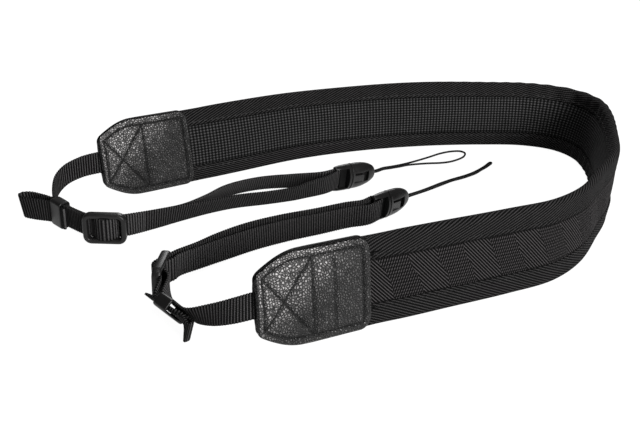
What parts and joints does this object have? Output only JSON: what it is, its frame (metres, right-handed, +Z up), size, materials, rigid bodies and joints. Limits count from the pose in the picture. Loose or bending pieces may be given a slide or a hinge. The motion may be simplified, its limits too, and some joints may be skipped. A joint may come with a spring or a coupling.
{
  "type": "camera neck strap",
  "caption": "Padded neck strap standing on its edge in a U, with leather end tabs, narrow webbing, sliders and quick-release buckles on cord loops for hanging a camera from the neck",
  "frame": {"origin": "bottom centre of the box round everything but the cord loops", "axes": "+X runs along the arms of the U towards its bend, +Y from the front arm to the back arm, +Z up from the surface the strap stands on"},
  "size_m": [0.3362, 0.18, 0.0401],
  "materials": {
    "canvas": "matte ribbed canvas",
    "lining": "matte padded mesh",
    "tape": "matte twill tape",
    "leather": "grained, half gloss",
    "webbing": "cross-ribbed webbing",
    "plastic": "satin moulded",
    "cord": "smooth braided cord"
  },
  "bodies": {
    "root": {"canvas_band": "canvas", "mesh_lining": "lining", "edge_tape_top": "tape", "edge_tape_bottom": "tape", "front_tab_outer": "leather", "front_tab_inner": "leather", "front_webbing": "webbing", "front_keeper": "plastic", "front_triglide": "plastic", "front_buckle_cuff": "plastic", "front_buckle_hood": "plastic", "front_cord_loop": "cord", "back_tab_outer": "leather", "back_tab_inner": "leather", "back_webbing": "webbing", "back_keeper": "plastic", "back_triglide": "plastic", "back_buckle_cuff": "plastic", "back_buckle_hood": "plastic", "back_cord_loop": "cord"}
  },
  "joints": []
}
